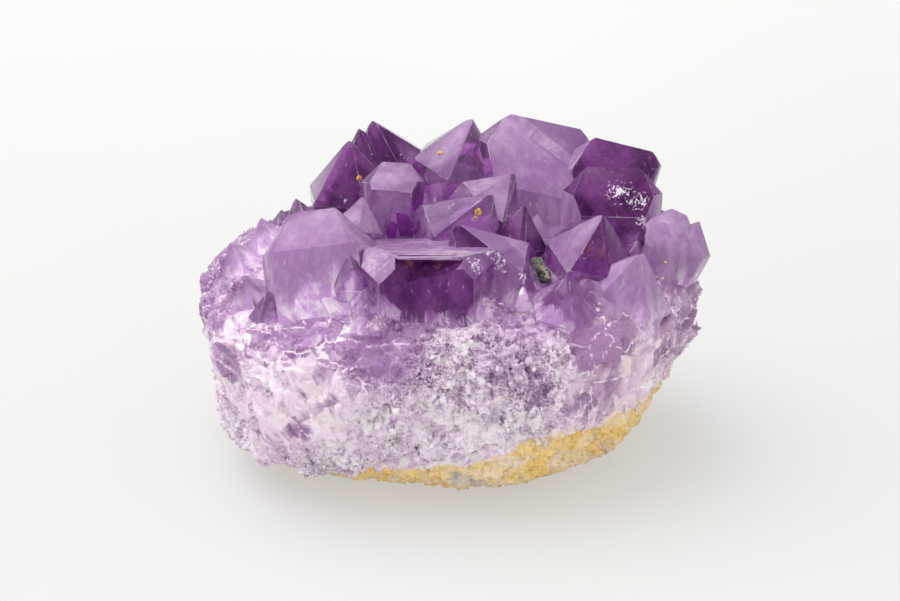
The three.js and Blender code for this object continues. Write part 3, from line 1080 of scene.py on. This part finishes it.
def hull(name, corners):
    """The closed hull of scattered corners as a mesh."""
    bm = bmesh.new()
    for corner in corners:
        bm.verts.new(corner)
    bmesh.ops.convex_hull(bm, input=bm.verts)
    return as_mesh(bm, name)


def shard(name, seed, corners, tall):
    """A small broken chip."""
    ways = np.random.default_rng(seed).normal(size=(corners, 3))
    ways = [Vector(way).normalized() for way in ways]
    return hull(name, [(way.x, way.y, way.z * tall) for way in ways])


def small_point(name, tip):
    """A small crystal: a six-sided prism under a six-sided point."""
    bm = bmesh.new()
    turns = [2 * math.pi * k / 6 for k in range(6)]
    low, high = (
        [bm.verts.new((wide * math.cos(turn), wide * math.sin(turn), z)) for turn in turns]
        for z, wide in ((-0.6, 0.55), (tip, 0.5))
    )
    top = bm.verts.new((0.04, 0.02, tip + 0.6))
    for k in range(6):
        m = (k + 1) % 6
        bm.faces.new((low[k], low[m], high[m], high[k]))
        bm.faces.new((high[k], high[m], top))
    bm.faces.new(low[::-1])
    return as_mesh(bm, name)


def scatter_tree(name, kit, kinds, weight, material):
    tree = bpy.data.node_groups.new(name + "_scatter", "GeometryNodeTree")
    face = tree.interface
    face.new_socket("Geometry", in_out="INPUT", socket_type="NodeSocketGeometry")
    sockets = {}
    for label in ("Density", "Size", "Spread", "Lean", "Seed"):
        kind = "NodeSocketInt" if label == "Seed" else "NodeSocketFloat"
        sockets[label] = face.new_socket(label, in_out="INPUT", socket_type=kind).identifier
    face.new_socket("Geometry", in_out="OUTPUT", socket_type="NodeSocketGeometry")
    n = Nodes(tree)
    given = n.put("NodeGroupInput").outputs
    chosen = n.put("GeometryNodeInputNamedAttribute", {"Name": weight}).outputs[0]
    density = n.times(given["Density"], chosen)
    spots = n.put(
        "GeometryNodeDistributePointsOnFaces",
        {"Mesh": given["Geometry"], "Density": density, "Seed": given["Seed"]},
        distribute_method="RANDOM",
    ).outputs

    def dice(kind, low, high, output):
        links = {**low, **high, "Seed": given["Seed"]}
        return n.put("FunctionNodeRandomValue", links, data_type=kind).outputs[output]

    turn = dice("FLOAT_VECTOR", {0: (-1.0, -1.0, -3.14)}, {1: (1.0, 1.0, 3.14)}, 0)
    turn = n.vector("MULTIPLY", turn, n.combined(given["Lean"], given["Lean"], 1.0))
    twist = n.put("FunctionNodeEulerToRotation", {0: turn}).outputs[0]
    stand = n.put(
        "FunctionNodeRotateRotation", {0: spots["Rotation"], 1: twist}, rotation_space="LOCAL"
    ).outputs[0]
    grown = n.math("POWER", dice("FLOAT", {2: 0.0}, {3: 1.0}, 1), 2.5)
    scale = n.total(n.times(grown, given["Spread"]), given["Size"])
    pick = dice("INT", {4: 0}, {5: kinds - 1}, 2)
    links = {"Collection": kit, "Separate Children": True, "Reset Children": True}
    shapes = n.put("GeometryNodeCollectionInfo", links).outputs[0]
    links = {"Points": spots["Points"], "Instance": shapes, "Pick Instance": True}
    links.update({"Instance Index": pick, "Rotation": stand, "Scale": scale})
    strewn = n.put("GeometryNodeInstanceOnPoints", links).outputs[0]
    real = n.put("GeometryNodeRealizeInstances", {"Geometry": strewn}).outputs[0]
    coated = n.put("GeometryNodeSetMaterial", {"Geometry": real, "Material": material})
    n.put("NodeGroupOutput", {0: coated.outputs[0]})
    return tree, sockets


def scattered(name, ground, shapes, weight, material, sizes):
    """Shapes strewn over the ground mesh by Geometry Nodes, as one plain mesh.

    sizes gives Density, Size, Spread, Lean (0 along the surface, larger for more at random) and
    Seed. The weight is the ground's attribute that thins them out.
    """
    kit = bpy.data.collections.new(name + "_kit")
    for k, mesh in enumerate(shapes):
        kit.objects.link(bpy.data.objects.new(f"{name}_shape_{k}", mesh))
    tree, sockets = scatter_tree(name, kit, len(shapes), weight, material)
    piece = add_piece(name, ground)
    strew = piece.modifiers.new("strew", "NODES")
    strew.node_group = tree
    for label, value in sizes.items():
        strew[sockets[label]] = value
    mesh = evaluated(piece)
    piece.modifiers.clear()
    piece.data = mesh
    for child in list(kit.objects):
        bpy.data.objects.remove(child)
    bpy.data.collections.remove(kit)
    return piece


def open_ground():
    """The outer skin of the flank and the crust, without what faces down, as one mesh."""
    bm = bmesh.new()
    bm.from_mesh(bpy.data.objects["amethyst_quartz"].data)
    others = [f for f in bm.faces if f.material_index != FLANK or f.normal.z < -0.75]
    bmesh.ops.delete(bm, geom=others, context="FACES")
    bm.from_mesh(bpy.data.objects["ochre_crust"].data)
    low = [f for f in bm.faces if f.calc_center_median().z < 3 * MM or f.normal.z < -0.9]
    bmesh.ops.delete(bm, geom=low, context="FACES")
    return as_mesh(bm, "ground")


class AMETHYST_OT_chips(bpy.types.Operator):
    """Strew broken chips over the flank, and small points where they grow on its upper edge"""

    bl_idname = "amethyst.chips"
    bl_label = "Chips"

    def execute(self, context):
        settings = context.scene.quartz
        ground = open_ground()
        soil = ground.copy()
        points = vectors(ground.vertices, "co")
        rim = above_rim(points)
        seam = np.empty(len(points))
        ground.attributes["seam"].data.foreach_get("value", seam)
        seam = seam * step(-6.0 * MM, 0.0, rim)
        clump = step(0.42, 0.75, soft_noise(points, 3.5 * MM, 61))
        strewn = (0.15 + 0.85 * clump) * graininess(points) ** 1.5
        strewn = strewn * step(0.5 * MM, 3.0 * MM, rim)
        save_floats(soil, druse=patchiness(points, DRUSE))
        save_floats(ground, chips=np.maximum(strewn, 0.5 * seam))
        chips = scattered(
            "quartz_chips", ground,
            [shard(f"shard_{k}", 3 + k, 8 + k % 3, 0.7 + 0.3 * k) for k in range(4)],
            "chips", broken_quartz("chipped_quartz"),
            {
                "Density": settings.loose,
                "Size": settings.chip_size * 0.35,
                "Spread": settings.chip_size,
                "Lean": 3.1,
                "Seed": settings.seed,
            },
        )
        violet = violetness(vectors(chips.data.vertices, "co")) - 0.1
        save_floats(chips.data, grain=0.6, stain=0.0, violet=violet, columns=0.0)
        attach(chips, "root")
        druse = scattered(
            "small_points", soil,
            [small_point(f"point_{k}", 0.5 + 0.3 * k) for k in range(3)],
            "druse", small_amethyst(),
            {
                "Density": settings.druse,
                "Size": 0.7 * MM,
                "Spread": 1.5 * MM,
                "Lean": 0.55,
                "Seed": settings.seed + 1,
            },
        )
        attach(druse, "root")
        return {"FINISHED"}


# ---- grains and the core ------------------------------------------------------------------------

# Brown specks in the points and the flank: place, then half length, width and height.
SPECKS = (
    ((5.8, -8.6, 66.9), (0.95, 0.5, 1.2)), ((5.2, -9.2, 65.5), (0.6, 0.4, 0.5)),
    ((-3.6, 21.4, 69.5), (0.8, 0.5, 0.6)), ((-24.2, 15.1, 65.2), (0.8, 0.5, 1.0)),
    ((-23.6, 14.8, 64.0), (0.5, 0.4, 0.5)), ((52.2, -9.6, 53.7), (0.5, 0.3, 0.35)),
    ((-37.6, -42.4, 31.4), (1.0, 0.6, 1.1)),
)
# The dark grain wedged between the points, as three lumps.
GRAIN = (
    ((20.0, -17.2, 56.0), (2.5, 2.0, 2.9)), ((19.6, -18.2, 53.2), (2.3, 1.9, 2.1)),
    ((22.0, -18.4, 54.2), (1.9, 1.5, 2.1)),
)
# Dark broken quartz between the middle points.
SHARDS = (
    ((-12.5, -4.8, 62.0), (2.8, 1.9, 3.8)), ((-9.4, -5.4, 60.6), (2.0, 1.7, 2.9)),
    ((-15.2, -5.6, 60.2), (1.7, 1.4, 3.0)), ((-6.6, -7.0, 60.2), (1.8, 1.4, 2.2)),
)


def lumps(name, places, seed, material, corners=26):
    """Small knobbly grains, each a hull of scattered corners, as one piece."""
    bm = bmesh.new()
    for k, (middle, size) in enumerate(places):
        ways = np.random.default_rng(seed + k).normal(size=(corners, 3))
        ways = [way / np.linalg.norm(way) for way in ways]
        part = hull(
            "part", [[m * MM + s * w * MM for m, s, w in zip(middle, size, way)] for way in ways]
        )
        bm.from_mesh(part)
        bpy.data.meshes.remove(part)
    mesh = as_mesh(bm, name)
    mesh.materials.append(material)
    return add_piece(name, mesh)


class AMETHYST_OT_specks(bpy.types.Operator):
    """Build the brown specks, the dark grain and the dark shards between the points"""

    bl_idname = "amethyst.specks"
    bl_label = "Specks"

    def execute(self, context):
        for piece, slot in (
            (lumps("brown_specks", SPECKS, 40, speck_brown()), "weathered_matrix"),
            (lumps("dark_grain", GRAIN, 60, dark_mineral()), "weathered_matrix"),
            (
                lumps("dark_shards", SHARDS, 80, bpy.data.materials["deep_amethyst"], 11),
                "quartz",
            ),
        ):
            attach(piece, "root")
        return {"FINISHED"}


CORE_AROUND, CORE_UP = 120, 60
CORE_MIDDLE = Vector((0, 1, 30)) * MM


def core_points(stone):
    """Rings of points on a smoothed shell that stays well inside the stone, from the top down."""
    reach = np.zeros((CORE_UP, CORE_AROUND))
    ways = np.zeros((CORE_UP, CORE_AROUND, 3))
    for j, i in np.ndindex(CORE_UP, CORE_AROUND):
        tilt = math.pi * (j + 0.5) / CORE_UP
        turn = 2 * math.pi * i / CORE_AROUND
        way = Vector((
            math.sin(tilt) * math.cos(turn), math.sin(tilt) * math.sin(turn), math.cos(tilt)
        ))
        reach[j, i] = stone.ray_cast(CORE_MIDDLE, way)[3]
        ways[j, i] = way
    shell = reach.copy()
    for _ in range(4):
        near = [np.roll(shell, k, axis=1) for k in (-1, 1)]
        near += [np.vstack((shell[:1], shell[:-1])), np.vstack((shell[1:], shell[-1:]))]
        shell = 0.3 * shell + 0.7 * sum(near) / 4
    flat = ways.reshape(-1, 3)
    inset = (3.0 + 6.0 * step(-0.1, 0.75, ways[:, :, 2])) * MM
    wave = soft_noise(flat, 0.22, 2).reshape(reach.shape) * 4.5 * MM
    shell = np.minimum(shell - inset - wave, reach - 2.2 * MM)
    return np.array(CORE_MIDDLE) + flat * shell.reshape(-1, 1)


class AMETHYST_OT_milky_quartz(bpy.types.Operator):
    """Build the cloudy quartz sealed under the points"""

    bl_idname = "amethyst.milky_quartz"
    bl_label = "Milky Quartz"

    def execute(self, context):
        bm = frame_solid("amethyst")
        bmesh.ops.triangulate(bm, faces=bm.faces)
        points = core_points(BVHTree.FromBMesh(bm))
        bm.free()
        ends = points[:CORE_AROUND].mean(0), points[-CORE_AROUND:].mean(0)
        top, low = len(points), len(points) + 1
        last = len(points) - CORE_AROUND
        faces = []
        for i in range(CORE_AROUND):
            k = (i + 1) % CORE_AROUND
            faces.append((top, i, k))
            faces.append((low, last + k, last + i))
            for a in range(0, last, CORE_AROUND):
                b = a + CORE_AROUND
                faces.append((a + i, b + i, b + k, a + k))
        mesh = bpy.data.meshes.new("milky_quartz")
        mesh.from_pydata([tuple(p) for p in (*points, *ends)], [], faces)
        mesh.shade_smooth()
        mesh.materials.append(milky_quartz())
        piece = add_piece("milky_quartz", mesh)
        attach(piece, "root")
        return {"FINISHED"}


# ---- the crust ----------------------------------------------------------------------------------


def above_rim(points):
    """Height of each point above the line where quartz takes over from the crust."""
    turn = np.arctan2(points[:, 1], points[:, 0])
    lip = 12.4 + 11.2 * np.cos(turn + 0.62)
    cover = 3.8 * step(-1.12, -1.45, turn) * step(-2.9, -2.3, turn)
    return points[:, 2] - (lip - cover) * MM


class AMETHYST_OT_crust(bpy.types.Operator):
    """Build the weathered ochre crust"""

    bl_idname = "amethyst.crust"
    bl_label = "Crust"

    def execute(self, context):
        settings = context.scene.crust
        mesh = remeshed(as_mesh(frame_solid("rind"), "source"), settings.grid)
        points = vectors(mesh.vertices, "co")
        normals = vectors(mesh.vertex_normals, "vector")
        rough = broken_faces(points, 4.2 * MM, 71) * 0.7 + soft_noise(points, 2.0 * MM, 8) * 0.4
        rough += broken_faces(points, 1.7 * MM, 73) * 0.45 - 0.05
        outward = step(-0.2, 0.4, (normals[:, :2] * points[:, :2]).sum(1) / 0.04)
        raised = step(0.4 * MM, 2.5 * MM, points[:, 2])
        stone = frame_solid("amethyst")
        seam = step(2.6 * MM, 1.0 * MM, distances(BVHTree.FromBMesh(stone), points, 3 * MM))
        stone.free()
        move = (settings.relief * (rough - 0.62) + 0.45 * MM) * (1 - seam) - 0.1 * MM * seam
        moved = points + normals * (move * outward * raised)[:, None]
        tuck = 1 - 0.055 * step(11 * MM, 1 * MM, points[:, 2]) * outward
        moved[:, :2] *= tuck[:, None]
        moved[:, 2] = np.maximum(moved[:, 2], 0)
        mesh.vertices.foreach_set("co", moved.ravel())
        mesh.update()
        save_floats(mesh, rim=above_rim(points), seam=seam)
        mesh.materials.clear()
        mesh.materials.append(ochre_crust())
        mesh.polygons.foreach_set("material_index", np.zeros(len(mesh.polygons), dtype=np.int32))
        mesh.shade_smooth()
        piece = add_piece("ochre_crust", mesh)
        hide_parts("rind")
        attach(piece, "root")
        return {"FINISHED"}


# ---- the stage ----------------------------------------------------------------------------------

WINDOW_TURN, WINDOW_RISE = math.radians(150), math.radians(62)


def studio_light():
    """A pale room: a bright soft window overhead at the left back, dimmer in front."""
    world = bpy.data.worlds.new("studio")
    bpy.context.scene.world = world
    world.use_nodes = True
    n = Nodes(world.node_tree)
    way = n.put("ShaderNodeTexCoord").outputs["Generated"]
    parts = n.parts(way)
    back = n.ramp(parts["Y"], -0.6, 0.35, 1.04, 0.95)
    room = n.times(back, n.ramp(parts["Z"], 0.1, 0.9, 1.0, 0.9))
    window = (
        math.cos(WINDOW_RISE) * math.cos(WINDOW_TURN),
        math.cos(WINDOW_RISE) * math.sin(WINDOW_TURN),
        math.sin(WINDOW_RISE),
    )
    facing = n.vector("DOT_PRODUCT", way, window)
    glow = n.ramp(facing, math.cos(math.radians(36)), math.cos(math.radians(22)), 0.0, 2.6)
    links = {"Color": (1, 0.995, 0.985, 1), "Strength": n.total(room, glow)}
    light = n.put("ShaderNodeBackground", links)
    n.put("ShaderNodeOutputWorld", {"Surface": light.outputs[0]})


def floor_material():
    """A plain pale floor, a little brighter at the back and on the left."""
    material, n, place = new_material("floor")
    tone = n.ramp(n.noise(place, 3.0, 2.0), 0.3, 0.7)
    parts = n.parts(place)
    glow = n.minus(
        n.ramp(parts["Y"], -0.05, 0.5, 0.41, 0.49), n.ramp(parts["X"], 0.0, 0.16, 0.0, 0.035)
    )
    n.surface(
        n.mix(tone, (0.335, 0.335, 0.335), (0.345, 0.345, 0.34)), 0.9,
        more={
            "Specular IOR Level": 0.1,
            "Emission Color": (1.0, 1.0, 0.99, 1.0),
            "Emission Strength": glow,
        },
    )
    return material


class AMETHYST_OT_stage(bpy.types.Operator):
    """Build the floor, the light and the camera"""

    bl_idname = "amethyst.stage"
    bl_label = "Stage"

    def execute(self, context):
        settings = context.scene.stage
        bm = bmesh.new()
        bmesh.ops.create_grid(bm, x_segments=2, y_segments=2, size=4.0)
        mesh = as_mesh(bm, "floor")
        mesh.materials.append(floor_material())
        floor = add_piece("floor", mesh)
        studio_light()
        lens = bpy.data.cameras.new("camera")
        lens.lens = settings.lens
        lens.sensor_width = 36.0
        lens.clip_start = 0.01
        lens.clip_end = 50.0
        camera = add_piece("camera", lens)
        rise = settings.elevation
        away = Vector((0, -math.cos(rise), math.sin(rise)))
        turn = Matrix.Rotation(math.pi / 2 - rise, 4, "X")
        camera.matrix_world = Matrix.Translation(MIDDLE + away * settings.distance) @ turn
        context.scene.camera = camera
        context.scene.view_settings.view_transform = "Standard"
        return {"FINISHED"}


# ---- the panel and the classes ------------------------------------------------------------------


class AMETHYST_PT_panel(bpy.types.Panel):
    """The settings of the stone and the steps that build it"""

    bl_label = "Amethyst Cluster"
    bl_idname = "AMETHYST_PT_panel"
    bl_space_type = "VIEW_3D"
    bl_region_type = "UI"
    bl_category = "Amethyst"

    def draw(self, context):
        for group in SETTINGS:
            box = self.layout.box()
            settings = getattr(context.scene, group)
            for name in settings.bl_rna.properties.keys():
                if name not in ("rna_type", "name"):
                    box.prop(settings, name)
        for operator in OPERATORS:
            self.layout.operator(operator.bl_idname)


OPERATORS = (
    AMETHYST_OT_stage,
    AMETHYST_OT_quartz,
    AMETHYST_OT_milky_quartz,
    AMETHYST_OT_crust,
    AMETHYST_OT_chips,
    AMETHYST_OT_specks,
)
SETTINGS = {"quartz": QuartzSettings, "crust": CrustSettings, "stage": StageSettings}
CLASSES = (*SETTINGS.values(), *OPERATORS, AMETHYST_PT_panel)


def register():
    for cls in CLASSES:
        bpy.utils.register_class(cls)
    for name, group in SETTINGS.items():
        setattr(bpy.types.Scene, name, PointerProperty(type=group))


def unregister():
    for name in SETTINGS:
        delattr(bpy.types.Scene, name)
    for cls in reversed(CLASSES):
        bpy.utils.unregister_class(cls)


def main():
    register()
    bpy.ops.amethyst.stage()
    bpy.ops.amethyst.quartz()
    bpy.ops.amethyst.milky_quartz()
    bpy.ops.amethyst.crust()
    bpy.ops.amethyst.chips()
    bpy.ops.amethyst.specks()


if __name__ == "__main__":
    main()
